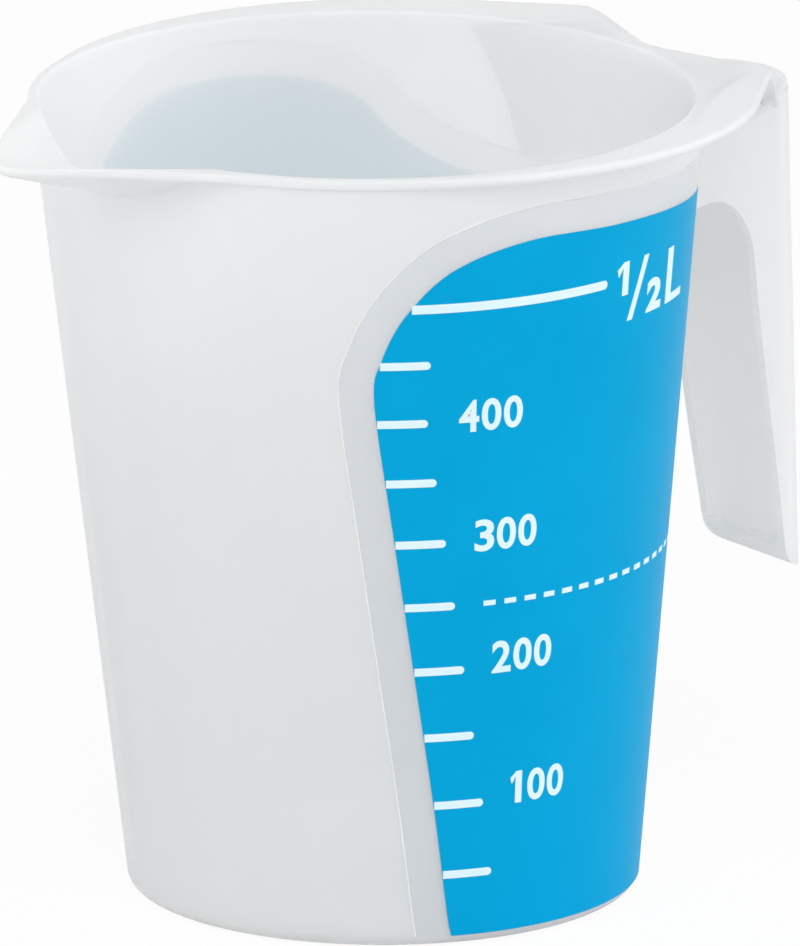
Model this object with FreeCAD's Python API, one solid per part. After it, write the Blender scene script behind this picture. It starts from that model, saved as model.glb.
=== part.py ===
import FreeCAD, Part
import math
import os

# Half-litre measuring jug, in millimetres.
# +X points at the handle, -X at the spout, +Z up, origin at the centre of the base.
# The jug is one moulding; it is split here into base, wall, rim, bridge and grip.
# Each printed label is a clear film, a blue panel and its white graduations.

# cup
rim_height = 118.0
base_radius = 36.9
mouth_radius = 48.7
mouth_shift = 2.8
wall = 1.3
floor = 2.0
base_round = 2.0
base_band = 7.0

# rim, seen from above: a round collar drawn out to a spout and to the handle
rim_thickness = 1.6
rim_lip = 0.3
rim_radius = 52.2
rim_shift = 3.0
spout_reach = 67.6
spout_nose = 8.1

# pouring channel in the spout
channel_tip_depth = 0.5
channel_tip_width = 7.0
channel_root_depth = 9.5
channel_root_width = 54.0
channel_length = 30.0

# handle
handle_reach = 70.1
handle_nose = 10.7
handle_drop = 7.0
bridge_start = 50.8

# thumb ramp, from the mouth down to the handle; its start splays out to both sides
ramp_start = 46.4
ramp_splay = 0.31
ramp_round = 14.0
ramp_run = 8.3

# grip
grip_wall = 1.5
grip_bottom = 37.5
grip_lean = 2.3
grip_edge_x = 64.0
grip_edge_z = 48.5
grip_edge_slope = 0.155
grip_arch_drop = 20.0
grip_arch_radius = 14.0
grip_inner_corner = 4.8
grip_outer_corner = 2.2
grip_flare_foot = 4.0
grip_flare_middle = 13.0
grip_flare_top = 36.0

# label layers, measured out from the cup wall
layer_gap = 0.02
film_thickness = 0.12
ink_thickness = 0.08
film_margin = 5.0
handle_clearance = 0.3

# label outlines as azimuth in degrees and height: left foot, curve to the right, right foot
label_foot = 2.4
front_left_foot = (-110.8, label_foot)
front_curve = ((-112.0, 7.1), (-114.5, 21.0), (-118.6, 42.0), (-122.3, 63.0), (-125.5, 83.7),
               (-124.0, 90.5), (-119.4, 97.4), (-110.7, 103.9), (-96.6, 107.2), (-78.0, 106.9),
               (-62.4, 106.2), (-38.6, 104.6))
front_right_foot = (-38.0, label_foot)
rear_left_foot = (21.0, label_foot)
rear_curve = ((21.0, 92.5), (38.0, 95.0), (49.0, 99.5), (58.0, 106.0), (75.0, 109.0),
              (95.0, 107.5), (110.0, 99.5), (114.0, 90.0))
rear_right_foot = (114.0, label_foot)

# graduations: ten steps of 50 ml, closer together where the cup is wider
scale_pitch = 11.17
scale_tighten = 0.136
tick_volume = 50
tick_count = 9
tick_length = 7.4
tick_overrun = 3.0
tick_height = 1.15
full_line_end = -79.4
full_line_height = 1.3
dash_start = -103.3
dash_pitch = 4.45
dash_count = 15
dash_length = 1.85
dash_height = 0.75

# numerals
digit_height = 4.9
digit_width = 2.75
digit_pitch = 3.45
digit_stroke = 0.95
digit_lift = 1.2
front_numeral_azimuths = {8: -103.7, 6: -100.1, 4: -95.7, 2: -91.2}
rear_numeral_azimuths = {8: 38.0, 6: 38.5, 4: 39.0, 2: 39.5}

# the mark 1/2 L: for each character its left edge, foot, width, height and stroke
half_mark_azimuth = -66.0
half_mark_drop = 6.6
half_mark = (("1", -8.7, 4.1, 2.9, 5.1, 1.0), ("/", -5.9, 0.0, 4.6, 9.2, 0.95),
             ("2", -1.1, 0.1, 4.2, 5.0, 1.0), ("L", 4.9, 0.0, 6.4, 8.4, 1.35))

sliver = 1e-4
far = 200.0
X_AXIS = FreeCAD.Vector(1, 0, 0)
Z_AXIS = FreeCAD.Vector(0, 0, 1)


def vec(x, y, z=0.0):
    return FreeCAD.Vector(x, y, z)


def line(a, b):
    return Part.LineSegment(a, b).toShape()


def arc(a, b, c):
    return Part.Arc(a, b, c).toShape()


def polygon(points):
    return Part.Face(Part.makePolygon(list(points) + [points[0]]))


# ---------------------------------------------------------------- cup

def cup_radius(z):
    return base_radius + (mouth_radius - base_radius) * z / rim_height


def cup_centre(z):
    return -mouth_shift * z / rim_height


def cup_ring(z, grow):
    return Part.Wire(Part.makeCircle(cup_radius(z) + grow, vec(cup_centre(z), 0, z), Z_AXIS))


def cup_solid(low, high, grow=0.0):
    """The leaning cone of the cup, its surface moved outwards by grow."""
    return Part.makeLoft([cup_ring(low, grow), cup_ring(high, grow)], True, True)


def cup_layer(inner, outer):
    low, high = base_round, rim_height - rim_thickness
    return cup_solid(low, high, outer).cut(cup_solid(low, high, inner))


def round_bottom(solid, radius):
    low = solid.BoundBox.ZMin
    edges = [e for e in solid.Edges if abs(e.BoundBox.ZMax - low) < 1e-3]
    return solid.makeFillet(radius, edges)


def cup_shell():
    outer = round_bottom(cup_solid(0.0, rim_height), base_round)
    inner = round_bottom(cup_solid(floor, rim_height, -wall), base_round - wall)
    return outer.cut(inner)


def slice_z(shape, low, high):
    block = Part.makeBox(2 * far, 2 * far, high - low, vec(-far, -far, low))
    return shape.common(block)


# ---------------------------------------------------------------- rim

def tangent_angle(big, small, distance):
    return math.acos((big - small) / distance)


def rim_outline(z):
    """Round collar with straight tangents to the spout's nose and the handle's nose."""
    nose_x = handle_reach - handle_nose
    tip_x = -(spout_reach - spout_nose)
    to_handle = tangent_angle(rim_radius, handle_nose, nose_x - rim_shift)
    to_spout = math.pi - tangent_angle(rim_radius, spout_nose, rim_shift - tip_x)

    def on(centre, radius, angle):
        return vec(centre + radius * math.cos(angle), radius * math.sin(angle), z)

    side = (to_handle + to_spout) / 2
    edges = [arc(on(nose_x, handle_nose, -to_handle), vec(handle_reach, 0, z),
                 on(nose_x, handle_nose, to_handle)),
             line(on(nose_x, handle_nose, to_handle), on(rim_shift, rim_radius, to_handle)),
             arc(on(rim_shift, rim_radius, to_handle), on(rim_shift, rim_radius, side),
                 on(rim_shift, rim_radius, to_spout)),
             line(on(rim_shift, rim_radius, to_spout), on(tip_x, spout_nose, to_spout)),
             arc(on(tip_x, spout_nose, to_spout), vec(-spout_reach, 0, z),
                 on(tip_x, spout_nose, -to_spout)),
             line(on(tip_x, spout_nose, -to_spout), on(rim_shift, rim_radius, -to_spout)),
             arc(on(rim_shift, rim_radius, -to_spout), on(rim_shift, rim_radius, -side),
                 on(rim_shift, rim_radius, -to_handle)),
             line(on(rim_shift, rim_radius, -to_handle), on(nose_x, handle_nose, -to_handle))]
    return Part.Wire(edges)


def rim_prism():
    """The rim seen from above; it is never narrower than the mouth of the cup."""
    collar = Part.makeCylinder(mouth_radius + rim_lip, rim_height, vec(-mouth_shift, 0))
    return Part.Face(rim_outline(0.0)).extrude(vec(0, 0, rim_height)).fuse(collar).removeSplitter()


def thumb_hollow(drop):
    """What the thumb ramp takes from the deck, the whole of it lowered by drop."""
    start = ramp_start + ramp_run
    tilt = math.atan(ramp_splay)
    centre = start + ramp_round / math.cos(tilt)
    low = rim_height - handle_drop - drop

    def side(sign):
        return (vec(start + ramp_splay * far, sign * far, low),
                vec(centre - ramp_round * math.cos(tilt), sign * ramp_round * math.sin(tilt), low))

    (outer_near, touch_near), (outer_far, touch_far) = side(-1), side(1)
    edge_near, edge_far = vec(2 * far, -far, low), vec(2 * far, far, low)
    wire = Part.Wire([line(outer_near, touch_near),
                      arc(touch_near, vec(centre - ramp_round, 0, low), touch_far),
                      line(touch_far, outer_far), line(outer_far, edge_far),
                      line(edge_far, edge_near), line(edge_near, outer_near)])
    return Part.Face(wire).extrude(vec(-2 * ramp_run, 0, 2 * handle_drop))


def below_deck(drop):
    """Everything below the rim and the thumb ramp, lowered by drop."""
    block = Part.makeBox(3 * far, 2 * far, rim_height - drop, vec(-far, -far, 0))
    return block.cut(thumb_hollow(drop))


def deck_slab():
    return below_deck(0.0).cut(below_deck(rim_thickness)).common(rim_prism())


def channel_ring(x, depth, width, grow):
    """Round section of the pouring channel, depth below the rim and width across at the rim."""
    radius = (width ** 2 / 4 + depth ** 2) / (2 * depth)
    centre = vec(x, 0, rim_height - depth + radius)
    return Part.Wire(Part.makeCircle(radius + grow, centre, X_AXIS))


def channel(grow=0.0):
    tip = channel_ring(-spout_reach, channel_tip_depth, channel_tip_width, grow)
    root = channel_ring(-spout_reach + channel_length, channel_root_depth, channel_root_width, grow)
    return Part.makeLoft([tip, root], True, True)


def pour_rim():
    """Level collar with the pouring channel formed down into it, open over the cup."""
    level = deck_slab().common(Part.makeBox(far, 2 * far, far, vec(bridge_start - far, -far, 0)))
    trough = slice_z(channel(rim_thickness), 0.0, rim_height).common(rim_prism())
    lip = level.fuse(trough).cut(channel()).cut(cup_solid(0.0, rim_height, -wall))
    return lip.removeSplitter()


def handle_bridge():
    return deck_slab().common(Part.makeBox(far, 2 * far, far, vec(bridge_start, -far, 0)))


def cup_wall():
    return slice_z(cup_shell(), base_band, rim_height - rim_thickness).cut(channel(rim_thickness))


# ---------------------------------------------------------------- handle

def grip_section(z, flare, inset):
    """Nose and two side walls that open towards the cup by the flare angle."""
    angle = math.radians(flare)
    nose_x = handle_reach - handle_nose + grip_lean * (rim_height - z) / (rim_height - grip_bottom)
    radius = handle_nose - inset
    root_x = base_radius - wall
    touch = vec(nose_x + radius * math.sin(angle), radius * math.cos(angle), z)
    root = vec(root_x, touch.y + (touch.x - root_x) * math.tan(angle), z)
    touch_near = vec(touch.x, -touch.y, z)
    root_near = vec(root.x, -root.y, z)
    return Part.Wire([line(root_near, touch_near), arc(touch_near, vec(nose_x + radius, 0, z), touch),
                      line(touch, root), line(root, root_near)])


def grip_form(inset):
    low, high = grip_bottom - 1.0, rim_height + 1.0
    flare = ((low, grip_flare_foot), ((low + high) / 2, grip_flare_middle), (high, grip_flare_top))
    return Part.makeLoft([grip_section(z, angle, inset) for z, angle in flare], True, False)


def grip_side(inset, open_side):
    """Side view of the grip: arch under the rim, slanted free edge, rounded foot."""
    low = grip_bottom + inset
    inner = grip_inner_corner - inset
    outer = grip_outer_corner - inset
    tilt = math.atan(grip_edge_slope)
    back = handle_reach + grip_lean - inset

    def edge_x(z):
        return grip_edge_x + inset - grip_edge_slope * (z - grip_edge_z)

    centre_z = low + inner
    centre_x = edge_x(centre_z) + inner / math.cos(tilt)

    def on(angle):
        return vec(centre_x + inner * math.cos(angle), -far, centre_z + inner * math.sin(angle))

    start = on(math.pi + tilt)
    top = rim_height
    foot = vec(centre_x, -far, low)
    turn = math.radians(225)
    heel = [vec(back - outer, -far, low),
            vec(back - outer + outer * math.sin(math.pi / 4), -far,
                low + outer - outer * math.cos(math.pi / 4)),
            vec(back, -far, low + outer)]
    edges = [arc(start, on(turn + tilt / 2), foot), line(foot, heel[0]), arc(*heel),
             line(heel[2], vec(back, -far, top))]
    if open_side:
        edges += [line(vec(back, -far, top), vec(0, -far, top)),
                  line(vec(0, -far, top), vec(0, -far, start.z)), line(vec(0, -far, start.z), start)]
    else:
        arch = top - grip_arch_drop
        turn_z = arch - grip_arch_radius
        turn_x = edge_x(turn_z) - grip_arch_radius / math.cos(tilt)

        def bend(angle):
            return vec(turn_x + grip_arch_radius * math.cos(angle), -far,
                       turn_z + grip_arch_radius * math.sin(angle))

        quarter = math.pi / 2
        sweep = (bend(quarter), bend((quarter + tilt) / 2), bend(tilt))
        edges += [line(vec(back, -far, top), vec(0, -far, top)),
                  line(vec(0, -far, top), vec(0, -far, arch)),
                  line(vec(0, -far, arch), sweep[0]), arc(*sweep), line(sweep[2], start)]
    return Part.Face(Part.Wire(edges)).extrude(vec(0, 2 * far, 0))


def handle_grip():
    outer = grip_form(0.0).common(grip_side(0.0, False))
    hollow = grip_form(grip_wall).common(grip_side(grip_wall, True))
    shell = outer.cut(hollow).common(below_deck(rim_thickness))
    return shell.cut(cup_solid(0.0, rim_height)).cut(channel(rim_thickness))


# ---------------------------------------------------------------- labels

def wall_point(azimuth, z, grow=0.0):
    angle = math.radians(azimuth)
    radius = cup_radius(z) + grow
    return vec(cup_centre(z) + radius * math.cos(angle), radius * math.sin(angle), z)


def view_frame(azimuth):
    """Directions outwards and to the right for someone facing the wall at this azimuth."""
    angle = math.radians(azimuth)
    return vec(math.cos(angle), math.sin(angle)), vec(-math.sin(angle), math.cos(angle))


def through_wall(face, outward):
    return face.extrude(outward * far)


def onto_view(point, azimuth):
    outward, right = view_frame(azimuth)
    return right * point.dot(right) + Z_AXIS * point.z


def grown(points, outward, margin):
    """A closed outline, clockwise from outside, with each point moved out by the margin."""
    moved = []
    for before, point, after in zip(points[-1:] + points, points, points[1:] + points[:1]):
        travel = (after - before).normalize()
        moved.append(point + outward.cross(travel) * margin)
    return moved


def label_prism(left_foot, curve, right_foot, margin):
    """Everything behind the label's outline, as seen from straight in front of it."""
    azimuth = (left_foot[0] + right_foot[0]) / 2
    outward = view_frame(azimuth)[0]
    corners = (left_foot,) + curve + (right_foot,)
    points = grown([onto_view(wall_point(a, z), azimuth) for a, z in corners], outward, margin)
    top = Part.BSplineCurve()
    top.interpolate(points[1:-1])
    wire = Part.Wire([line(points[0], points[1]), top.toShape(), line(points[-2], points[-1]),
                      line(points[-1], points[0])])
    return through_wall(Part.Face(wire), outward)


def panel_layer(level):
    inner = film_thickness + 2 * layer_gap + level * (ink_thickness + layer_gap)
    return cup_layer(inner, inner + ink_thickness)


FRONT = (front_left_foot, front_curve, front_right_foot)
REAR = (rear_left_foot, rear_curve, rear_right_foot)


def label_film(label):
    """Clear film with a margin round the panel, above the round of the base."""
    film = cup_layer(layer_gap, layer_gap + film_thickness).common(label_prism(*label, film_margin))
    return slice_z(film, base_round, rim_height).cut(grip_form(-handle_clearance))


def blue_panel(label):
    return panel_layer(0).common(label_prism(*label, 0.0)).cut(grip_form(-handle_clearance))


def tick_z(step):
    return scale_pitch * step - scale_tighten * step ** 2


def left_azimuth(label, z):
    """Azimuth of the label's left edge at height z."""
    edge = (label[0],) + label[1]
    for (a0, z0), (a1, z1) in zip(edge, edge[1:]):
        if z0 <= z <= z1:
            return a0 + (a1 - a0) * (z - z0) / (z1 - z0)
    return edge[0][0]


def bar_face(right, half, height, z, round_end):
    """A bar across the wall, centred on its view, with a round right end where asked."""
    r = height / 2
    a, b = right * -half, right * (half - (r if round_end else 0))
    low, high = Z_AXIS * (z - r), Z_AXIS * (z + r)
    if round_end:
        end = arc(b + low, b + right * r + Z_AXIS * z, b + high)
    else:
        end = line(b + low, b + high)
    return Part.Face(Part.Wire([line(a + low, b + low), end, line(b + high, a + high),
                                line(a + high, a + low)]))


def bar(start, end, z, height, round_end=True):
    """A bar on the wall from one azimuth to another, as a prism that points outwards."""
    middle = (start + end) / 2
    outward, right = view_frame(middle)
    half = cup_radius(z) * math.sin(math.radians(abs(end - start) / 2))
    face = bar_face(right, half, height, z, round_end)
    face.translate(vec(cup_centre(z), 0))
    return through_wall(face, outward)


def degrees(length, z):
    return math.degrees(length / cup_radius(z))


def graduation_ticks(label):
    ticks = []
    for step in range(1, tick_count + 1):
        z = tick_z(step)
        start = left_azimuth(label, z)
        ticks.append(bar(start - tick_overrun, start + degrees(tick_length, z), z, tick_height))
    inside = label_prism(*label, 0.0)
    return Part.makeCompound([panel_layer(1).common(t).common(inside) for t in ticks])


def half_litre_line():
    z = tick_z(tick_count + 1)
    start = left_azimuth(FRONT, z) - tick_overrun
    shape = bar(start, full_line_end, z, full_line_height)
    return panel_layer(1).common(shape).common(label_prism(*FRONT, 0.0))


def quarter_litre_dashes():
    z = tick_z(5)
    half = degrees(dash_length, z) / 2
    centres = [dash_start + dash_pitch * i for i in range(dash_count)]
    dashes = [bar(a - half, a + half, z, dash_height, False) for a in centres]
    return Part.makeCompound([panel_layer(1).common(d) for d in dashes])


# ---------------------------------------------------------------- numerals
# A digit is drawn in a box one wide and one high by strokes of one thickness.

def bezier(points, count=14):
    """Points along a Bezier curve."""
    out = []
    for i in range(count + 1):
        t = i / count
        work = list(points)
        while len(work) > 1:
            work = [(a[0] + (b[0] - a[0]) * t, a[1] + (b[1] - a[1]) * t)
                    for a, b in zip(work, work[1:])]
        out.append(work[0])
    return out


def ellipse(cx, cy, rx, ry, start, end, count=20):
    angles = [math.radians(start + (end - start) * i / count) for i in range(count + 1)]
    return [(cx + rx * math.cos(a), cy + ry * math.sin(a)) for a in angles]


STROKES = {
    "1": [[(0.62, 0.0), (0.62, 1.0)], [(0.62, 0.97), (0.2, 0.72)]],
    "2": [ellipse(0.46, 0.7, 0.44, 0.3, 160, 0) + bezier([(0.9, 0.66), (0.86, 0.4), (0.12, 0.02)]),
          [(0.0, 0.0), (1.0, 0.0)]],
    "3": [ellipse(0.44, 0.75, 0.46, 0.25, 150, -90), ellipse(0.42, 0.25, 0.52, 0.25, 90, -150)],
    "4": [[(0.74, 0.0), (0.74, 1.0)], [(0.7, 1.0), (0.0, 0.28)], [(0.0, 0.28), (1.0, 0.28)]],
    "L": [[(0.08, 0.0), (0.08, 1.0)], [(0.08, 0.0), (0.9, 0.0)]],
    "/": [[(0.0, -0.05), (1.0, 1.05)]],
}


def stroke_sides(path, width):
    """The two sides of a stroke of even width along a path of points."""
    left, right = [], []
    for before, (x, y), after in zip([path[0]] + path, path, path[1:] + [path[-1]]):
        dx, dy = after[0] - before[0], after[1] - before[1]
        size = math.hypot(dx, dy)
        nx, ny = -dy / size * width / 2, dx / size * width / 2
        left.append((x + nx, y + ny))
        right.append((x - nx, y - ny))
    return left, right


def zero_face(width, height, stroke, place):
    """An upright oval ring, its middle line width across and height high."""
    rings = []
    for side in (stroke / 2, -stroke / 2):
        points = ellipse(width / 2, height / 2, width / 2 + side, height / 2 + side, 0, 350, 35)
        rings.append(polygon([place(*p) for p in points]))
    return rings[0].cut(rings[1])


def glyph(letter, x, z, width, height, stroke, right):
    """One digit as flat faces in the view plane, its lower left corner at x and z."""
    inner_w, inner_h = width - stroke, height - stroke

    def place(u, v):
        return right * (x + stroke / 2 + u) + Z_AXIS * (z + stroke / 2 + v)

    if letter == "0":
        return zero_face(inner_w, inner_h, stroke, place)
    faces = []
    for path in STROKES[letter]:
        left, right_side = stroke_sides([(u * inner_w, v * inner_h) for u, v in path], stroke)
        faces.append(polygon([place(*p) for p in left + right_side[::-1]]))
    return faces[0].multiFuse(faces[1:]).removeSplitter() if len(faces) > 1 else faces[0]


def numeral(text, azimuth, z, height, width, pitch, stroke):
    outward, right = view_frame(azimuth)
    start = -(pitch * (len(text) - 1) + width) / 2
    layer = panel_layer(1)
    solids = []
    for i, letter in enumerate(text):
        flat = glyph(letter, start + pitch * i, z - height / 2, width, height, stroke, right)
        flat.translate(vec(cup_centre(z), 0))
        solids.append(layer.common(through_wall(flat, outward)))
    return solids


def numerals(azimuths):
    solids = []
    for step, azimuth in azimuths.items():
        z = tick_z(step) + digit_lift
        solids += numeral(str(step * tick_volume), azimuth, z, digit_height, digit_width,
                          digit_pitch, digit_stroke)
    return Part.makeCompound(solids)


def half_litre_mark():
    foot = tick_z(tick_count + 1) - half_mark_drop
    outward, right = view_frame(half_mark_azimuth)
    layer = panel_layer(1)
    solids = []
    for letter, left, lift, width, height, stroke in half_mark:
        flat = glyph(letter, left, foot + lift, width, height, stroke, right)
        flat.translate(vec(cup_centre(foot), 0))
        solids.append(layer.common(through_wall(flat, outward)))
    return Part.makeCompound(solids)


def export(name, shape):
    solids = [s for s in shape.Solids if s.Volume > sliver]
    result = solids[0] if len(solids) == 1 else Part.makeCompound(solids)
    result.exportStep("parts/" + name + ".step")
    print(name, len(solids), round(sum(s.Volume for s in solids), 2), result.isValid())


def main():
    os.makedirs("parts", exist_ok=True)
    nodes = {
        "cup_base": slice_z(cup_shell(), 0.0, base_band),
        "cup_wall": cup_wall(),
        "pour_rim": pour_rim(),
        "handle_bridge": handle_bridge(),
        "handle_grip": handle_grip(),
        "front_label_film": label_film(FRONT),
        "front_blue_panel": blue_panel(FRONT),
        "front_graduation_ticks": graduation_ticks(FRONT),
        "half_litre_line": half_litre_line(),
        "quarter_litre_dashes": quarter_litre_dashes(),
        "front_numerals": numerals(front_numeral_azimuths),
        "half_litre_mark": half_litre_mark(),
        "rear_label_film": label_film(REAR),
        "rear_blue_panel": blue_panel(REAR),
        "rear_graduation_ticks": graduation_ticks(REAR),
        "rear_numerals": numerals(rear_numeral_azimuths),
    }
    for name, shape in nodes.items():
        export(name, shape)


main()
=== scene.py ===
import math

import bpy
import bmesh
import numpy as np
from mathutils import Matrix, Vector


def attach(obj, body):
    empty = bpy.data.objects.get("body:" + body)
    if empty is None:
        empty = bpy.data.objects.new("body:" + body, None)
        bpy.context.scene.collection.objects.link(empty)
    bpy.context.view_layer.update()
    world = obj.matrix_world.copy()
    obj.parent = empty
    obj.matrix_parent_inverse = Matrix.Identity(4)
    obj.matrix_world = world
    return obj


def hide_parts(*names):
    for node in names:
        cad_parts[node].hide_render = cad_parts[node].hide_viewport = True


# Lengths here are in millimetres and match the CAD; MM turns them into metres.
MM = 0.001

# cup
RIM_Z = 118.0
BASE_R = 36.9
MOUTH_R = 48.7
MOUTH_SHIFT = 2.8
WALL = 1.3
FLOOR = 2.0
BASE_ROUND = 2.0
INNER_ROUND = 0.7

# rim, spout and handle seen from above
RIM_T = 1.6
RIM_LIP = 0.3
RIM_R = 52.2
RIM_X = 3.0
SPOUT_REACH = 67.6
SPOUT_NOSE = 8.1
HANDLE_REACH = 70.1
HANDLE_NOSE = 10.7
HANDLE_DROP = 7.0

# thumb ramp
RAMP_START = 46.4
RAMP_SPLAY = 0.31
RAMP_ROUND = 14.0
RAMP_RUN = 8.3
RAMP_SOFT = 0.6
RAMP_BULGE = 0.28

# pouring channel
CHANNEL_LENGTH = 30.0
CHANNEL_TIP = (0.5, 7.0)
CHANNEL_ROOT = (9.5, 54.0)
CHANNEL_SOFT = 0.35

# edge rounding of the rim
EDGE_OUT = 0.7
EDGE_IN = 0.5
EDGE_UNDER = 0.8

# labels: outlines as azimuth in degrees and height, left foot to right end
FRONT_EDGE = ((-110.8, 1.5), (-112.0, 7.1), (-114.5, 21.0), (-118.6, 42.0), (-122.3, 63.0),
              (-125.5, 83.7), (-124.0, 90.5), (-119.4, 97.4), (-110.7, 103.9), (-96.6, 107.2),
              (-78.0, 106.9), (-62.4, 106.2), (-38.6, 104.6))
REAR_EDGE = ((21.0, 92.5), (38.0, 95.0), (49.0, 99.5), (58.0, 106.0), (75.0, 109.0),
             (95.0, 107.5), (110.0, 99.5), (114.0, 90.0))
FRONT_RIGHT = -38.0
REAR_RIGHT = 114.0
LABEL_FOOT = 1.5
INK_LIFT = 0.10
MARK_LIFT = 0.16
SHEET = 0.06
FILM_MARGIN = 5.0
FILM_LIFT = 0.03
FILM_SHEET = 0.05
BEAD_NEAR = 4.95
BEAD_FAR = 5.15
BEAD_SHEET = 0.07

# scale: ticks every 50 ml, closer together upwards, with the long 1/2 L line as the tenth
SCALE_PITCH = 11.17
SCALE_TIGHTEN = 0.136
MARK_INSET = 0.1
TICK_STEPS = range(1, 10)
TICK_LENGTH = 7.4
TICK_HEIGHT = 1.2
LINE_STEP = 10
LINE_END = -79.4
LINE_HEIGHT = 1.35
DASH_STEP = 5
DASH_COUNT = 15
DASH_START = -103.3
DASH_PITCH = 4.45
DASH_HALF = 0.93
DASH_HEIGHT = 0.78

# numbers: text, azimuth and height of their foot
DIGIT_HEIGHT = 4.9
DIGIT_WIDTH = 3.0
ONE_WIDTH = 1.9
DIGIT_PITCH = 3.4
DIGIT_STROKE = 1.0
STROKE_GROWTH = 0.24
FRONT_NUMBERS = (("400", -103.7, 78.95), ("300", -100.1, 60.45), ("200", -95.7, 41.5),
                 ("100", -91.2, 21.0))
REAR_NUMBERS = (("400", 38.0, 79.3), ("300", 38.5, 60.8), ("200", 39.0, 41.5), ("100", 39.5, 21.0))

# the mark 1/2 L: letter, left, foot, width, height, stroke
HALF_MARK = (("1", -8.7, 4.1, 2.6, 5.1, 1.25), ("/", -5.9, 0.0, 4.7, 9.2, 1.05),
             ("2", -1.1, 0.1, 4.3, 5.0, 1.9), ("L", 4.9, 0.0, 6.5, 8.4, 1.9))
HALF_MARK_AZIMUTH = -66.0
HALF_MARK_FOOT = 91.5

# polypropylene: colour scattered back and let through, and their shares
PP_BODY = (0.950, 0.950, 0.948)
PP_THROUGH = (0.950, 0.965, 0.980)
PP_SHADE = 0.985
PP_MIX = 0.30
PP_CLEAR = 0.3

# print: darker and lighter end of the mottle
BLUE_INK = ((0.0010, 0.355, 0.665), (0.0016, 0.375, 0.700))
WHITE_INK = ((0.72, 0.90, 0.95), (0.76, 0.93, 0.97))
BACKING = ((0.62, 0.84, 0.97), (0.65, 0.86, 0.98))
FILM_EDGE = ((0.84, 0.86, 0.88), (0.88, 0.89, 0.90))
FILM_CLEAR = ((0.982, 0.988, 0.994), (0.986, 0.991, 0.996))
FILM_SKIN = ((0.74, 0.78, 0.83), (0.78, 0.81, 0.85))
FILM_SKIN_SHARE = 0.08
REAR_INK_CLEAR = 0.75
REAR_INK_TINT = (0.48, 0.85, 1.0)
REAR_BACKING_CLEAR = 0.85
REAR_BACKING_TINT = (0.97, 0.99, 1.0)

# camera, in degrees, millimetres and metres
VIEW_AZIMUTH = -36.0
VIEW_ELEVATION = 15.4
VIEW_TARGET = (2.0, -1.45, 60.8)
VIEW_DISTANCE = 4.5
LENS = 1183.5

# soft studio tent: tones away from, beside and towards DIM_SIDE, and overhead
DIM_SIDE = (-0.59, -0.81, 0.0)
TENT_FAR = (0.75, 0.75, 0.75)
TENT_SIDE = (2.10, 2.10, 2.10)
TENT_NEAR = (0.05, 0.05, 0.05)
TENT_TOP = (0.08, 0.08, 0.08)
TENT_SIDE_AT = 0.55
TENT_RISE = (0.35, 0.85)

# floor and lamps
FLOOR_RADIUS = 6.0
FLOOR_DROP = 0.0002
FLOOR_TONE = 0.80
FLOOR_GLOW = 0.93
FILL = 6.6
HIGH = 43.0
LAMP_AIM = (0, 0, 0.06)


# ---------------------------------------------------------------- cup geometry

def cup_r(z):
    """Radius of the cone at this height."""
    return BASE_R + (MOUTH_R - BASE_R) * z / RIM_Z


def cup_c(z):
    """Where the cone's axis is at this height."""
    return -MOUTH_SHIFT * z / RIM_Z


def wall_point(azimuth, z, grow=0.0):
    """A point on the wall, or grow outside it."""
    a = math.radians(azimuth)
    r = cup_r(z) + grow
    return (cup_c(z) + r * math.cos(a), r * math.sin(a), z)


def outline_table():
    """The rim's outline as polar angle and radius about the mouth's centre."""
    circles = ((RIM_X, RIM_R), (HANDLE_REACH - HANDLE_NOSE, HANDLE_NOSE),
               (SPOUT_NOSE - SPOUT_REACH, SPOUT_NOSE))
    hull = []
    for i in range(2880):
        a = math.radians(i / 8)
        c, r = max(circles, key=lambda k: k[0] * math.cos(a) + k[1])
        hull.append(np.array((c + r * math.cos(a), r * math.sin(a))))
    points = []
    for p, q in zip(hull, hull[1:] + hull[:1]):
        steps = max(1, int(np.linalg.norm(q - p) / 0.3))
        points += [p + (q - p) * k / steps for k in range(steps)]
    polar = sorted((math.atan2(p[1], p[0] + MOUTH_SHIFT), math.hypot(p[0] + MOUTH_SHIFT, p[1]))
                   for p in points)
    return [a for a, _ in polar], [r for _, r in polar]


OUTLINE = outline_table()


def rim_reach(angle):
    """Distance from the mouth's centre to the rim's edge."""
    a = math.atan2(math.sin(angle), math.cos(angle))
    return max(float(np.interp(a, *OUTLINE, period=2 * math.pi)), MOUTH_R + RIM_LIP)


def soft_min(a, b, k):
    """The smaller of the two, rounded over a width of k."""
    h = max(k - abs(a - b), 0.0) / k
    return min(a, b) - h * h * k / 4


def soft_max(a, b, k):
    return -soft_min(-a, -b, k)


def channel_z(x, y):
    """Height of the pouring channel's floor, or the rim's where there is none."""
    t = (x + SPOUT_REACH) / CHANNEL_LENGTH
    if t > 1:
        return RIM_Z + 9
    radii, centres = [], []
    for depth, width in (CHANNEL_TIP, CHANNEL_ROOT):
        r = (width ** 2 / 4 + depth ** 2) / (2 * depth)
        radii.append(r)
        centres.append(RIM_Z - depth + r)
    r = radii[0] + (radii[1] - radii[0]) * t
    c = centres[0] + (centres[1] - centres[0]) * t
    return c - math.sqrt(max(r * r - y * y, 0.0))


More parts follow.
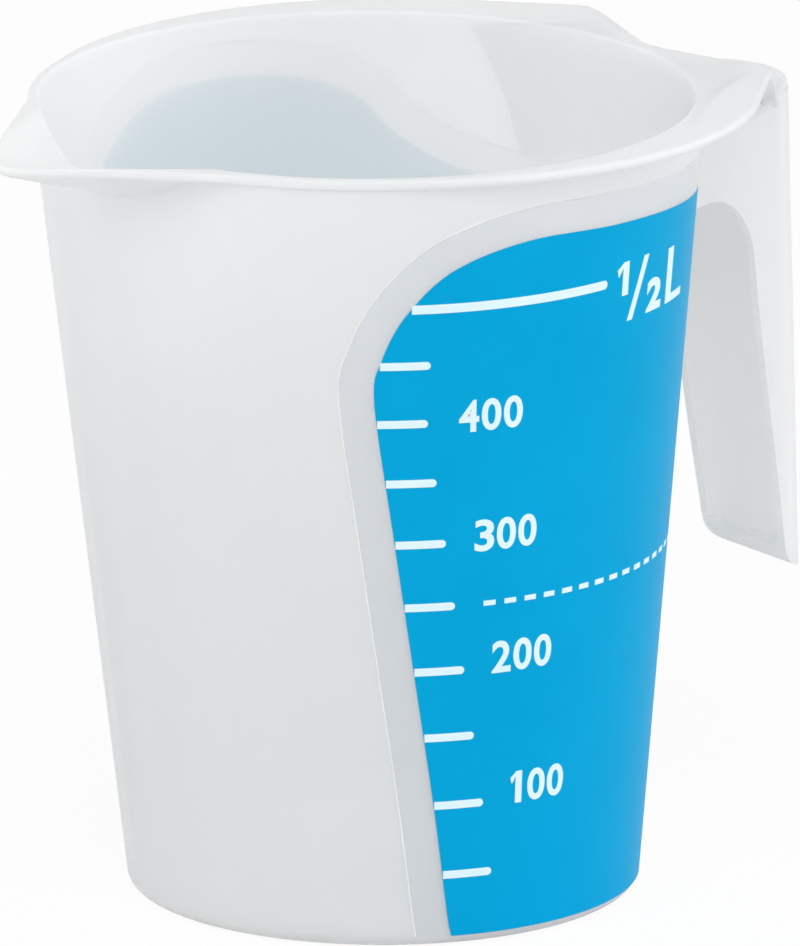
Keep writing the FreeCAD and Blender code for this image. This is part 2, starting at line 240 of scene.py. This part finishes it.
def deck_z(x, y):
    """Height of the rim's top: level, with the pouring channel and the thumb ramp."""
    tilt = math.atan(RAMP_SPLAY)
    centre = RAMP_START + RAMP_ROUND / math.cos(tilt)
    if abs(y) < RAMP_ROUND * math.sin(tilt):
        crease = centre - math.sqrt(RAMP_ROUND ** 2 - y * y)
    else:
        crease = RAMP_START + RAMP_SPLAY * abs(y)
    run = min(max((x - crease) / RAMP_RUN, -1.0), 1.3)
    slide = RIM_Z - HANDLE_DROP * (run + RAMP_BULGE * (run * run - run))
    z = soft_min(RIM_Z, slide, RAMP_SOFT)
    z = soft_max(z, RIM_Z - HANDLE_DROP, RAMP_SOFT / 3)
    return soft_min(z, channel_z(x, y), CHANNEL_SOFT)


def meet_wall(angle, drop, inset):
    """Where the deck, lowered by drop, meets the cone that lies inset inside the wall."""
    z = RIM_Z - drop
    for _ in range(12):
        x = cup_c(z) + (cup_r(z) - inset) * math.cos(angle)
        y = (cup_r(z) - inset) * math.sin(angle)
        z = deck_z(x, y) - drop
    return z


def arc_points(cr, cz, radius, start, end, count):
    """Points of an arc in the r, z plane, angles in degrees."""
    out = []
    for i in range(count + 1):
        a = math.radians(start + (end - start) * i / count)
        out.append((cr + radius * math.cos(a), cz + radius * math.sin(a)))
    return out


def spread(a, b, count):
    """Points strictly between a and b, closer together near both."""
    return [a + (b - a) * (0.5 - 0.5 * math.cos(math.pi * i / (count + 1)))
            for i in range(1, count + 1)]


def profile(angle):
    """One closed slice of the moulding at this azimuth, from the base's centre round to the floor's."""
    ca, sa = math.cos(angle), math.sin(angle)

    def on_cone(r, z):
        return (cup_c(z) + r * ca, r * sa, z)

    def on_deck(r, drop):
        x, y = r * ca - MOUTH_SHIFT, r * sa
        return (x, y, deck_z(x, y) - drop)

    reach = rim_reach(angle)
    z_in = meet_wall(angle, 0.0, WALL)
    z_out = meet_wall(angle, RIM_T, 0.0)
    width = reach - cup_r(z_out)
    under = min(EDGE_UNDER, 0.45 * width)
    points = [on_cone(r, 0.0) for r in (8.0, 16.0, 24.0, 30.0, 33.5)]
    points += [on_cone(r, z) for r, z in arc_points(cup_r(BASE_ROUND) - BASE_ROUND, BASE_ROUND,
                                                    BASE_ROUND, -90, 0, 7)]
    wall_top = z_out - under
    points += [on_cone(cup_r(z), z) for z in spread(BASE_ROUND + 0.4, wall_top - 0.2, 44)]
    # fillet from the wall out to the underside of the rim
    root = cup_r(wall_top)
    for i in range(5):
        a = math.pi / 2 * i / 4
        r = root + under * (1 - math.cos(a))
        x, y = cup_c(wall_top) + r * ca, r * sa
        z = wall_top + under * math.sin(a)
        points.append((x, y, min(z, deck_z(x, y) - RIM_T)))
    # underside, outer edge, top, inner edge
    start = root + under + cup_c(wall_top) * ca + MOUTH_SHIFT * ca
    end = reach - min(EDGE_OUT, 0.4 * max(width, 0.2))
    points += [on_deck(r, RIM_T) for r in spread(start, end, 9) if r > start]
    for a in (-75, -45, -15):
        k = math.radians(a)
        points.append(on_deck(end + (reach - end) * math.cos(k), RIM_T / 2 - RIM_T / 2 * math.sin(k)))
    for a in (15, 40, 65, 88):
        k = math.radians(a)
        points.append(on_deck(reach - EDGE_OUT + EDGE_OUT * math.cos(k), EDGE_OUT * (1 - math.sin(k))))
    inner = cup_r(z_in) - WALL + (cup_c(z_in) + MOUTH_SHIFT) * ca
    points += [on_deck(r, 0.0) for r in spread(inner + EDGE_IN, reach - EDGE_OUT, 14)[::-1]]
    for a in (90, 60, 30, 4):
        k = math.radians(a)
        points.append(on_deck(inner + EDGE_IN - EDGE_IN * math.cos(k), EDGE_IN * (1 - math.sin(k))))
    low = FLOOR + INNER_ROUND
    points += [on_cone(cup_r(z) - WALL, z) for z in spread(low, z_in - EDGE_IN, 40)[::-1]]
    points += [on_cone(r, z) for r, z in arc_points(cup_r(low) - WALL - INNER_ROUND, low,
                                                    INNER_ROUND, 0, -90, 5)]
    points += [on_cone(r, FLOOR) for r in (33.0, 30.0, 24.0, 16.0, 8.0)]
    return points


def azimuths():
    """Finer round the two noses than along the sides."""
    nose = [d / 2 for d in range(-28, 28)]
    side = [14 + 1.5 * i for i in range(102)]
    half = nose + side
    return sorted(set(a % 360 for a in half + [180 + a for a in half]))


def mesh_object(name, verts, faces, scale=MM):
    mesh = bpy.data.meshes.new(name)
    mesh.from_pydata([tuple(c * scale for c in v) for v in verts], [], faces)
    mesh.validate()
    obj = bpy.data.objects.new(name, mesh)
    bpy.context.scene.collection.objects.link(obj)
    return obj


def recalculate(obj):
    bm = bmesh.new()
    bm.from_mesh(obj.data)
    bmesh.ops.recalc_face_normals(bm, faces=bm.faces)
    bm.to_mesh(obj.data)
    bm.free()
    obj.data.shade_smooth()


def build_jug():
    columns = [profile(math.radians(a)) for a in azimuths()]
    rows = len(columns[0])
    verts = [p for c in columns for p in c]
    faces = []
    n = len(columns)
    for i in range(n):
        j = (i + 1) % n
        for k in range(rows - 1):
            faces.append((i * rows + k, j * rows + k, j * rows + k + 1, i * rows + k + 1))
    bottom, top = len(verts), len(verts) + 1
    verts += [(cup_c(0.0), 0, 0), (cup_c(FLOOR), 0, FLOOR)]
    for i in range(n):
        j = (i + 1) % n
        faces.append((bottom, j * rows, i * rows))
        faces.append((top, i * rows + rows - 1, j * rows + rows - 1))
    jug = mesh_object("jug_body", verts, faces)
    recalculate(jug)
    return jug


# ---------------------------------------------------------------- labels on the wall

def spline(points, per=10):
    """Catmull-Rom through the points."""
    pts = [np.array(p, float) for p in points]
    pts = [2 * pts[0] - pts[1]] + pts + [2 * pts[-1] - pts[-2]]
    out = []
    for p0, p1, p2, p3 in zip(pts, pts[1:], pts[2:], pts[3:]):
        for i in range(per):
            t = i / per
            out.append(0.5 * ((2 * p1) + (p2 - p0) * t + (2 * p0 - 5 * p1 + 4 * p2 - p3) * t * t
                              + (3 * p1 - p0 - 3 * p2 + p3) * t ** 3))
    return out + [pts[-2]]


def grow_edge(edge, margin):
    """The outline moved outwards by margin, measured along the wall."""
    moved = []
    for i, p in enumerate(edge):
        a, b = edge[max(i - 1, 0)], edge[min(i + 1, len(edge) - 1)]
        scale = math.radians(1) * cup_r(p[1])
        da, dz = (b[0] - a[0]) * scale, b[1] - a[1]
        size = math.hypot(da, dz)
        moved.append(np.array((p[0] - dz / size * margin / scale, p[1] + da / size * margin)))
    return moved


def label_columns(edge, right, foot, count):
    """Azimuth, low and high of each column of a label, left to right."""
    tip = min(range(len(edge)), key=lambda i: edge[i][0])
    lower = sorted((p[0], p[1]) for p in edge[:tip + 1])
    upper = sorted((p[0], p[1]) for p in edge[tip:])
    left = edge[tip][0]
    out = []
    for i in range(count + 1):
        t = i / count
        a = left + (right - left) * (t ** 2 * 0.35 + t * 0.65 if t > 0.15 else t * t * 4.68)
        low = float(np.interp(a, *zip(*lower))) if len(lower) > 1 and a < lower[-1][0] else foot
        high = float(np.interp(a, *zip(*upper)))
        out.append((a, low, max(high, low + 0.02)))
    return sorted(out)


def wall_sheet(name, columns, lift, rows=30, thickness=SHEET):
    """A thin closed sheet on the wall, from the columns' low to high."""
    verts, faces = [], []
    for side in (0, 1):
        for a, low, high in columns:
            for k in range(rows + 1):
                z = low + (high - low) * k / rows
                verts.append(wall_point(a, z, lift + side * thickness))
    n, m = len(columns), rows + 1
    base = n * m

    def at(i, k, side):
        return side * base + i * m + k

    for i in range(n - 1):
        for k in range(rows):
            quad = (at(i, k, 1), at(i + 1, k, 1), at(i + 1, k + 1, 1), at(i, k + 1, 1))
            faces.append(quad)
            faces.append(tuple(v - base for v in quad[::-1]))
    for i in range(n - 1):
        for k in (0, rows):
            faces.append((at(i, k, 0), at(i + 1, k, 0), at(i + 1, k, 1), at(i, k, 1)))
    for k in range(rows):
        for i in (0, n - 1):
            faces.append((at(i, k, 0), at(i, k + 1, 0), at(i, k + 1, 1), at(i, k, 1)))
    obj = mesh_object(name, verts, faces)
    bm = bmesh.new()
    bm.from_mesh(obj.data)
    bmesh.ops.remove_doubles(bm, verts=bm.verts, dist=1e-6)
    bmesh.ops.recalc_face_normals(bm, faces=bm.faces)
    bm.to_mesh(obj.data)
    bm.free()
    smooth_by_angle(obj)
    return obj


def smooth_by_angle(obj, angle=35):
    bpy.ops.object.select_all(action="DESELECT")
    obj.select_set(True)
    bpy.context.view_layer.objects.active = obj
    bpy.ops.object.shade_smooth_by_angle(angle=math.radians(angle))


def wrap_flat(name, bm, azimuth, z0, lift, thickness=SHEET):
    """Bends flat artwork, x to the right and y up in mm, on to the wall at this azimuth and height."""
    xs = [v.co.x for v in bm.verts]
    for x in np.arange(math.floor(min(xs)), math.ceil(max(xs)), 0.8):
        geom = bm.verts[:] + bm.edges[:] + bm.faces[:]
        bmesh.ops.bisect_plane(bm, geom=geom, plane_co=(x, 0, 0), plane_no=(1, 0, 0))
    bmesh.ops.triangulate(bm, faces=[f for f in bm.faces if len(f.verts) > 4])
    for f in bm.faces:
        if f.normal.z < 0:
            f.normal_flip()
    top = bmesh.ops.extrude_face_region(bm, geom=bm.faces[:], use_keep_orig=True)
    upper = set(v for v in top["geom"] if isinstance(v, bmesh.types.BMVert))
    for v in bm.verts:
        z = z0 + v.co.y
        a = azimuth + math.degrees(v.co.x / cup_r(z0))
        grow = lift + (thickness if v in upper else 0.0)
        v.co = Vector(wall_point(a, z, grow)) * MM
    bmesh.ops.recalc_face_normals(bm, faces=bm.faces)
    mesh = bpy.data.meshes.new(name)
    bm.to_mesh(mesh)
    bm.free()
    obj = bpy.data.objects.new(name, mesh)
    bpy.context.scene.collection.objects.link(obj)
    smooth_by_angle(obj)
    return obj


def capsule(bm, x0, x1, y, height, round_left, round_right):
    """A flat bar with round ends where asked."""
    r = height / 2
    points = []
    if round_right:
        points += [(x1 - r + r * math.cos(a), y + r * math.sin(a))
                   for a in np.linspace(-math.pi / 2, math.pi / 2, 13)]
    else:
        points += [(x1, y - r), (x1, y + r)]
    if round_left:
        points += [(x0 + r + r * math.cos(a), y + r * math.sin(a))
                   for a in np.linspace(math.pi / 2, 3 * math.pi / 2, 13)]
    else:
        points += [(x0, y + r), (x0, y - r)]
    bm.faces.new([bm.verts.new((px, py, 0)) for px, py in points])


def join_into(name, parts):
    bpy.ops.object.select_all(action="DESELECT")
    for p in parts:
        p.select_set(True)
    bpy.context.view_layer.objects.active = parts[0]
    if len(parts) > 1:
        bpy.ops.object.join()
    parts[0].name = name
    parts[0].data.name = name
    return parts[0]


def tick_z(step):
    """Height of a mark of the scale, one step for each 50 ml."""
    return SCALE_PITCH * step - SCALE_TIGHTEN * step ** 2


def boundary_azimuth(edge, z):
    """Azimuth of the label's left edge at this height."""
    tip = min(range(len(edge)), key=lambda i: edge[i][0])
    top = max(range(len(edge)), key=lambda i: edge[i][1])
    branch = edge[:tip + 1] if z <= edge[tip][1] else edge[tip:top + 1]
    points = sorted((p[1], p[0]) for p in branch)
    return float(np.interp(z, *zip(*points)))


def build_ticks(name, edge):
    """The ticks of one label, from its left edge inwards."""
    parts = []
    for step in TICK_STEPS:
        z = tick_z(step)
        a = boundary_azimuth(edge, z)
        bm = bmesh.new()
        capsule(bm, MARK_INSET, TICK_LENGTH, 0, TICK_HEIGHT, False, True)
        parts.append(wrap_flat("tick", bm, a, z, MARK_LIFT))
    return join_into(name, parts)


def font_glyph(bm, letter, left, foot, width, height, weight):
    """One letter of the built-in face, made bolder and fitted into the box."""
    curve = bpy.data.curves.new("lettering", "FONT")
    curve.body = letter
    curve.size = 10.0
    curve.offset = weight
    curve.resolution_u = 6
    obj = bpy.data.objects.new("lettering", curve)
    bpy.context.scene.collection.objects.link(obj)
    bpy.context.view_layer.update()
    mesh = bpy.data.meshes.new_from_object(obj.evaluated_get(bpy.context.evaluated_depsgraph_get()))
    bpy.data.objects.remove(obj)
    co = [v.co for v in mesh.vertices]
    x0, x1 = min(c.x for c in co), max(c.x for c in co)
    y0, y1 = min(c.y for c in co), max(c.y for c in co)
    for c in co:
        c.x = left + (c.x - x0) / (x1 - x0) * width
        c.y = foot + (c.y - y0) / (y1 - y0) * height
    bm.from_mesh(mesh)
    bpy.data.meshes.remove(mesh)


def polygon_glyph(bm, letter, left, foot, width, height, stroke):
    """The letters made of straight strokes."""
    w, h, s = width, height, stroke
    outlines = {
        "1": ((w, 0), (w, h), (w - 0.9 * s, h), (0, 0.80 * h), (0.14 * w, 0.80 * h - 0.9 * s),
              (w - 1.05 * s, 0.84 * h), (w - 1.05 * s, 0)),
        "/": ((0, 0), (1.15 * s, 0), (w, h), (w - 1.15 * s, h)),
        "L": ((0, 0), (w, 0), (w, 0.62 * s), (s, 0.62 * s), (s, h), (0, h)),
    }
    bm.faces.new([bm.verts.new((left + x, foot + y, 0)) for x, y in outlines[letter]])


def glyph(bm, letter, left, foot, width, height, stroke):
    if letter in "1/L":
        polygon_glyph(bm, letter, left, foot, width, height, stroke)
    else:
        font_glyph(bm, letter, left, foot, width, height, STROKE_GROWTH * stroke)


def build_number(text, azimuth, foot):
    """Three digits centred on this azimuth."""
    bm = bmesh.new()
    for i, letter in enumerate(text):
        width = ONE_WIDTH if letter == "1" else DIGIT_WIDTH
        glyph(bm, letter, (i - 1) * DIGIT_PITCH - width / 2, 0.0, width, DIGIT_HEIGHT, DIGIT_STROKE)
    return wrap_flat("number", bm, azimuth, foot, MARK_LIFT)


def film_sheet(name, edge, right, count):
    """The clear film, wider than the print by its margin."""
    columns = label_columns(grow_edge(edge, FILM_MARGIN), right, LABEL_FOOT, count)
    return wall_sheet(name, columns, FILM_LIFT, thickness=FILM_SHEET)


def edge_bead(name, edge):
    """A thin closed strip along the film's border."""
    inner, outer = grow_edge(edge, BEAD_NEAR), grow_edge(edge, BEAD_FAR)
    verts = []
    for p, q in zip(inner, outer):
        for side in (0, 1):
            for r in (p, q):
                verts.append(wall_point(r[0], max(r[1], LABEL_FOOT), FILM_LIFT + side * BEAD_SHEET))
    faces = []
    for i in range(len(inner) - 1):
        a, b = 4 * i, 4 * (i + 1)
        faces += [(a, a + 1, b + 1, b), (a + 2, b + 2, b + 3, a + 3),
                  (a, b, b + 2, a + 2), (a + 1, a + 3, b + 3, b + 1)]
    faces += [(0, 2, 3, 1), (len(verts) - 4, len(verts) - 3, len(verts) - 1, len(verts) - 2)]
    obj = mesh_object(name, verts, faces)
    recalculate(obj)
    return obj


# ---------------------------------------------------------------- materials

def new_material(name):
    m = bpy.data.materials.new(name)
    m.use_nodes = True
    nt = m.node_tree
    nt.nodes.clear()
    out = nt.nodes.new("ShaderNodeOutputMaterial")
    return m, nt, out


def noise(nt, scale, detail=3.0, roughness=0.5):
    coord = nt.nodes.new("ShaderNodeTexCoord")
    tex = nt.nodes.new("ShaderNodeTexNoise")
    tex.inputs["Scale"].default_value = scale
    tex.inputs["Detail"].default_value = detail
    tex.inputs["Roughness"].default_value = roughness
    nt.links.new(coord.outputs["Object"], tex.inputs["Vector"])
    return tex.outputs["Fac"]


def ramp(nt, fac, low, high, a, b):
    node = nt.nodes.new("ShaderNodeValToRGB")
    node.color_ramp.elements[0].position = low
    node.color_ramp.elements[1].position = high
    node.color_ramp.elements[0].color = (*a, 1)
    node.color_ramp.elements[1].color = (*b, 1)
    nt.links.new(fac, node.inputs["Fac"])
    return node.outputs["Color"]


def value_ramp(nt, fac, low, high):
    node = nt.nodes.new("ShaderNodeMapRange")
    node.inputs["To Min"].default_value = low
    node.inputs["To Max"].default_value = high
    nt.links.new(fac, node.inputs["Value"])
    return node.outputs["Result"]


def mix_shaders(nt, first, second, share):
    """The two shaders together, with this share of the second."""
    node = nt.nodes.new("ShaderNodeMixShader")
    node.inputs["Fac"].default_value = share
    nt.links.new(first, node.inputs[1])
    nt.links.new(second, node.inputs[2])
    return node.outputs[0]


def bump(nt, fac, distance, strength):
    node = nt.nodes.new("ShaderNodeBump")
    node.inputs["Distance"].default_value = distance
    node.inputs["Strength"].default_value = strength
    nt.links.new(fac, node.inputs["Height"])
    return node.outputs["Normal"]


def milky_plastic():
    """Translucent polypropylene: part of the light is scattered back, part goes through."""
    m, nt, out = new_material("milky_polypropylene")
    body = nt.nodes.new("ShaderNodeBsdfPrincipled")
    cloud = noise(nt, 26.0, 3.0, 0.55)
    grain = noise(nt, 1500.0, 2.0, 0.6)
    nt.links.new(ramp(nt, cloud, 0.3, 0.7, tuple(c * PP_SHADE for c in PP_BODY), PP_BODY),
                 body.inputs["Base Color"])
    nt.links.new(value_ramp(nt, cloud, 0.36, 0.46), body.inputs["Roughness"])
    body.inputs["IOR"].default_value = 1.49
    nt.links.new(bump(nt, grain, 0.00002, 0.35), body.inputs["Normal"])
    through = nt.nodes.new("ShaderNodeBsdfTranslucent")
    nt.links.new(ramp(nt, cloud, 0.3, 0.7, tuple(c * PP_SHADE for c in PP_THROUGH), PP_THROUGH),
                 through.inputs["Color"])
    milk = mix_shaders(nt, body.outputs[0], through.outputs[0], PP_MIX)
    clear = nt.nodes.new("ShaderNodeBsdfTransparent")
    clear.inputs["Color"].default_value = (0.985, 0.99, 0.995, 1)
    nt.links.new(mix_shaders(nt, milk, clear.outputs[0], PP_CLEAR), out.inputs["Surface"])
    return m


def thin_out(nt, body, clear, tint, out):
    """Lets part of the light through unchanged."""
    if not clear:
        nt.links.new(body.outputs[0], out.inputs["Surface"])
        return
    hole = nt.nodes.new("ShaderNodeBsdfTransparent")
    hole.inputs["Color"].default_value = (*tint, 1)
    nt.links.new(mix_shaders(nt, body.outputs[0], hole.outputs[0], clear), out.inputs["Surface"])


def ink(name, tones, rough, clear=0.0, tint=(1, 1, 1)):
    """Printed film: even colour with a faint mottle under a satin varnish."""
    m, nt, out = new_material(name)
    body = nt.nodes.new("ShaderNodeBsdfPrincipled")
    mottle = noise(nt, 60.0, 4.0, 0.6)
    body.inputs["Specular IOR Level"].default_value = 0.025
    nt.links.new(ramp(nt, mottle, 0.3, 0.7, *tones), body.inputs["Base Color"])
    nt.links.new(value_ramp(nt, mottle, rough - 0.04, rough + 0.06), body.inputs["Roughness"])
    nt.links.new(bump(nt, noise(nt, 900.0), 0.00002, 0.25), body.inputs["Normal"])
    thin_out(nt, body, clear, tint, out)
    return m


def label_backing(name, clear, tint=(1, 1, 1)):
    """Pale back of the label, seen through the wall from inside the cup."""
    m, nt, out = new_material(name)
    body = nt.nodes.new("ShaderNodeBsdfPrincipled")
    mottle = noise(nt, 60.0)
    nt.links.new(ramp(nt, mottle, 0.3, 0.7, *BACKING), body.inputs["Base Color"])
    nt.links.new(value_ramp(nt, mottle, 0.5, 0.6), body.inputs["Roughness"])
    thin_out(nt, body, clear, tint, out)
    return m


def clear_film():
    """Varnished film margin: mostly clear, with a faint cool tint."""
    m, nt, out = new_material("clear_label_film")
    clear = nt.nodes.new("ShaderNodeBsdfTransparent")
    mottle = noise(nt, 40.0)
    nt.links.new(ramp(nt, mottle, 0.3, 0.7, *FILM_CLEAR), clear.inputs["Color"])
    skin = nt.nodes.new("ShaderNodeBsdfPrincipled")
    nt.links.new(ramp(nt, mottle, 0.3, 0.7, *FILM_SKIN), skin.inputs["Base Color"])
    skin.inputs["Roughness"].default_value = 0.3
    nt.links.new(mix_shaders(nt, clear.outputs[0], skin.outputs[0], FILM_SKIN_SHARE),
                 out.inputs["Surface"])
    return m


def back_label(obj, front, backing):
    """Ink outside, backing on the faces that look into the wall."""
    obj.data.materials.clear()
    obj.data.materials.append(front)
    obj.data.materials.append(backing)
    for p in obj.data.polygons:
        c = p.center / MM
        outward = Vector((c.x - cup_c(c.z), c.y, 0)).normalized()
        p.material_index = 1 if p.normal.dot(outward) < -0.5 else 0


def give(obj, material):
    obj.data.materials.clear()
    obj.data.materials.append(material)


# ---------------------------------------------------------------- studio

def make_camera():
    """A long lens from the front left of the spout, a little above the rim."""
    azimuth, elevation = math.radians(VIEW_AZIMUTH), math.radians(VIEW_ELEVATION)
    back = Vector((math.sin(azimuth) * math.cos(elevation),
                   -math.cos(azimuth) * math.cos(elevation), math.sin(elevation)))
    data = bpy.data.cameras.new("camera")
    data.lens = LENS
    data.sensor_width = 36.0
    data.clip_end = 30.0
    cam = bpy.data.objects.new("camera", data)
    bpy.context.scene.collection.objects.link(cam)
    cam.location = Vector(VIEW_TARGET) * MM + back * VIEW_DISTANCE
    cam.rotation_euler = back.to_track_quat("Z", "Y").to_euler()
    bpy.context.scene.camera = cam


def make_world():
    """White to the camera; to everything else a soft tent, dimmer on one side and overhead."""
    world = bpy.data.worlds.new("studio")
    world.use_nodes = True
    nt = world.node_tree
    nt.nodes.clear()
    out = nt.nodes.new("ShaderNodeOutputWorld")
    path = nt.nodes.new("ShaderNodeLightPath")
    seen = nt.nodes.new("ShaderNodeBackground")
    seen.inputs["Color"].default_value = (1, 1, 1, 1)
    tent = nt.nodes.new("ShaderNodeBackground")
    coord = nt.nodes.new("ShaderNodeTexCoord")
    side = nt.nodes.new("ShaderNodeVectorMath")
    side.operation = "DOT_PRODUCT"
    side.inputs[1].default_value = DIM_SIDE
    nt.links.new(coord.outputs["Generated"], side.inputs[0])
    turn = nt.nodes.new("ShaderNodeMapRange")
    turn.inputs["From Min"].default_value = -1.0
    nt.links.new(side.outputs["Value"], turn.inputs["Value"])
    tones = nt.nodes.new("ShaderNodeValToRGB")
    tones.color_ramp.interpolation = "EASE"
    tones.color_ramp.elements[0].color = (*TENT_FAR, 1)
    tones.color_ramp.elements[1].color = (*TENT_NEAR, 1)
    tones.color_ramp.elements.new(TENT_SIDE_AT).color = (*TENT_SIDE, 1)
    nt.links.new(turn.outputs["Result"], tones.inputs["Fac"])
    height = nt.nodes.new("ShaderNodeSeparateXYZ")
    nt.links.new(coord.outputs["Generated"], height.inputs["Vector"])
    rise = nt.nodes.new("ShaderNodeMapRange")
    rise.interpolation_type = "SMOOTHSTEP"
    rise.inputs["From Min"].default_value, rise.inputs["From Max"].default_value = TENT_RISE
    nt.links.new(height.outputs["Z"], rise.inputs["Value"])
    dome = nt.nodes.new("ShaderNodeMix")
    dome.data_type = "RGBA"
    dome.inputs["B"].default_value = (*TENT_TOP, 1)
    nt.links.new(rise.outputs["Result"], dome.inputs["Factor"])
    nt.links.new(tones.outputs["Color"], dome.inputs["A"])
    nt.links.new(dome.outputs["Result"], tent.inputs["Color"])
    mix = nt.nodes.new("ShaderNodeMixShader")
    nt.links.new(path.outputs["Is Camera Ray"], mix.inputs["Fac"])
    nt.links.new(tent.outputs[0], mix.inputs[1])
    nt.links.new(seen.outputs[0], mix.inputs[2])
    nt.links.new(mix.outputs[0], out.inputs["Surface"])
    bpy.context.scene.world = world


def make_floor():
    """A pale floor, nearly white to the camera, that keeps the jug's shadow."""
    bm = bmesh.new()
    bmesh.ops.create_circle(bm, cap_ends=True, segments=96, radius=FLOOR_RADIUS)
    mesh = bpy.data.meshes.new("floor")
    bm.to_mesh(mesh)
    bm.free()
    floor = bpy.data.objects.new("floor", mesh)
    floor.location.z = -FLOOR_DROP
    bpy.context.scene.collection.objects.link(floor)
    m, nt, out = new_material("floor")
    lit = nt.nodes.new("ShaderNodeBsdfDiffuse")
    nt.links.new(ramp(nt, noise(nt, 4.0), 0.3, 0.7, (FLOOR_TONE,) * 3, (FLOOR_TONE + 0.02,) * 3),
                 lit.inputs["Color"])
    glow = nt.nodes.new("ShaderNodeEmission")
    glow.inputs["Color"].default_value = (1, 1, 1, 1)
    path = nt.nodes.new("ShaderNodeLightPath")
    part = nt.nodes.new("ShaderNodeMath")
    part.operation = "MULTIPLY"
    part.inputs[1].default_value = FLOOR_GLOW
    nt.links.new(path.outputs["Is Camera Ray"], part.inputs[0])
    mix = nt.nodes.new("ShaderNodeMixShader")
    nt.links.new(part.outputs[0], mix.inputs["Fac"])
    nt.links.new(lit.outputs[0], mix.inputs[1])
    nt.links.new(glow.outputs[0], mix.inputs[2])
    nt.links.new(mix.outputs[0], out.inputs["Surface"])
    give(floor, m)


def area_light(name, place, size, power):
    data = bpy.data.lights.new(name, "AREA")
    data.shape = "DISK"
    data.size = size
    data.energy = power
    obj = bpy.data.objects.new(name, data)
    obj.location = place
    obj.rotation_euler = (Vector(LAMP_AIM) - Vector(place)).to_track_quat("-Z", "Y").to_euler()
    bpy.context.scene.collection.objects.link(obj)


# ---------------------------------------------------------------- scene

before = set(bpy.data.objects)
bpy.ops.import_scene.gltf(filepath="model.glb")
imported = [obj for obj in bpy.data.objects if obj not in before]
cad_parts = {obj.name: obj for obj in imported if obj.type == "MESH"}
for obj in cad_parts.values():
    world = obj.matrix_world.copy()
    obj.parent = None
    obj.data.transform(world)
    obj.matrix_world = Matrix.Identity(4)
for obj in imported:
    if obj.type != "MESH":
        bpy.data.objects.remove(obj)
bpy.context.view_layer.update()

plastic = milky_plastic()
blue = ink("blue_label_ink", BLUE_INK, 0.34)
white = ink("white_label_ink", WHITE_INK, 0.42)
backing = label_backing("label_backing", 0.0)
rear_blue = ink("rear_label_ink", BLUE_INK, 0.34, REAR_INK_CLEAR, REAR_INK_TINT)
rear_backing = label_backing("rear_label_backing", REAR_BACKING_CLEAR, REAR_BACKING_TINT)
film = clear_film()
film_edge = ink("film_edge", FILM_EDGE, 0.40)

jug = build_jug()
give(jug, plastic)
give(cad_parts["handle_grip"], plastic)
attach(jug, "root")
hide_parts("cup_base", "cup_wall", "pour_rim", "handle_bridge")

front_edge = spline(FRONT_EDGE)
rear_edge = spline(REAR_EDGE)
front_panel = wall_sheet("front_panel", label_columns(front_edge, FRONT_RIGHT, LABEL_FOOT, 120),
                         INK_LIFT)
back_label(front_panel, blue, backing)
rear_panel = wall_sheet("rear_panel", label_columns(rear_edge, REAR_RIGHT, LABEL_FOOT, 90), INK_LIFT)
back_label(rear_panel, rear_blue, rear_backing)

front_film = film_sheet("front_film", front_edge, FRONT_RIGHT, 120)
front_bead = edge_bead("front_film_edge", front_edge)
give(front_film, film)
give(front_bead, film_edge)

ticks = build_ticks("front_ticks", front_edge)
rear_ticks = build_ticks("rear_ticks", rear_edge)
bm = bmesh.new()
z_line = tick_z(LINE_STEP)
left = boundary_azimuth(front_edge, z_line)
length = math.radians(LINE_END - left) * cup_r(z_line)
capsule(bm, MARK_INSET, length, 0, LINE_HEIGHT, False, True)
half_line = wrap_flat("half_line", bm, left, z_line, MARK_LIFT)
dash_parts = []
for i in range(DASH_COUNT):
    bm = bmesh.new()
    capsule(bm, -DASH_HALF, DASH_HALF, 0, DASH_HEIGHT, False, False)
    dash_parts.append(wrap_flat("dash", bm, DASH_START + DASH_PITCH * i, tick_z(DASH_STEP), MARK_LIFT))
dashes = join_into("quarter_dashes", dash_parts)

numbers = join_into("front_numbers", [build_number(*number) for number in FRONT_NUMBERS])
rear_numbers = join_into("rear_numbers_print", [build_number(*number) for number in REAR_NUMBERS])
bm = bmesh.new()
for letter in HALF_MARK:
    glyph(bm, *letter)
mark = wrap_flat("half_mark", bm, HALF_MARK_AZIMUTH, HALF_MARK_FOOT, MARK_LIFT)

for obj, node, slot in ((front_panel, "front_blue_panel", "blue_label_ink"),
                        (front_film, "front_label_film", "clear_label_film"),
                        (ticks, "front_graduation_ticks", "white_label_ink"),
                        (half_line, "half_litre_line", "white_label_ink"),
                        (dashes, "quarter_litre_dashes", "white_label_ink"),
                        (numbers, "front_numerals", "white_label_ink"),
                        (mark, "half_litre_mark", "white_label_ink"),
                        (rear_panel, "rear_blue_panel", "blue_label_ink"),
                        (rear_ticks, "rear_graduation_ticks", "white_label_ink"),
                        (rear_numbers, "rear_numerals", "white_label_ink")):
    if slot == "white_label_ink":
        give(obj, white)
    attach(obj, "root")
    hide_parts(node)
rear_film = film_sheet("rear_film", rear_edge, REAR_RIGHT, 90)
rear_bead = edge_bead("rear_film_edge", rear_edge)
give(rear_film, film)
give(rear_bead, film_edge)
for obj, node in ((rear_film, "rear_label_film"), (front_bead, "front_label_film"),
                  (rear_bead, "rear_label_film")):
    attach(obj, "root")
    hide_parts(node)

make_camera()
make_world()
make_floor()
area_light("fill", (1.8, -0.8, 1.0), 1.4, FILL)
area_light("high", (-0.95, -1.15, 1.9), 2.2, HIGH)
bpy.context.scene.view_settings.view_transform = "Standard"
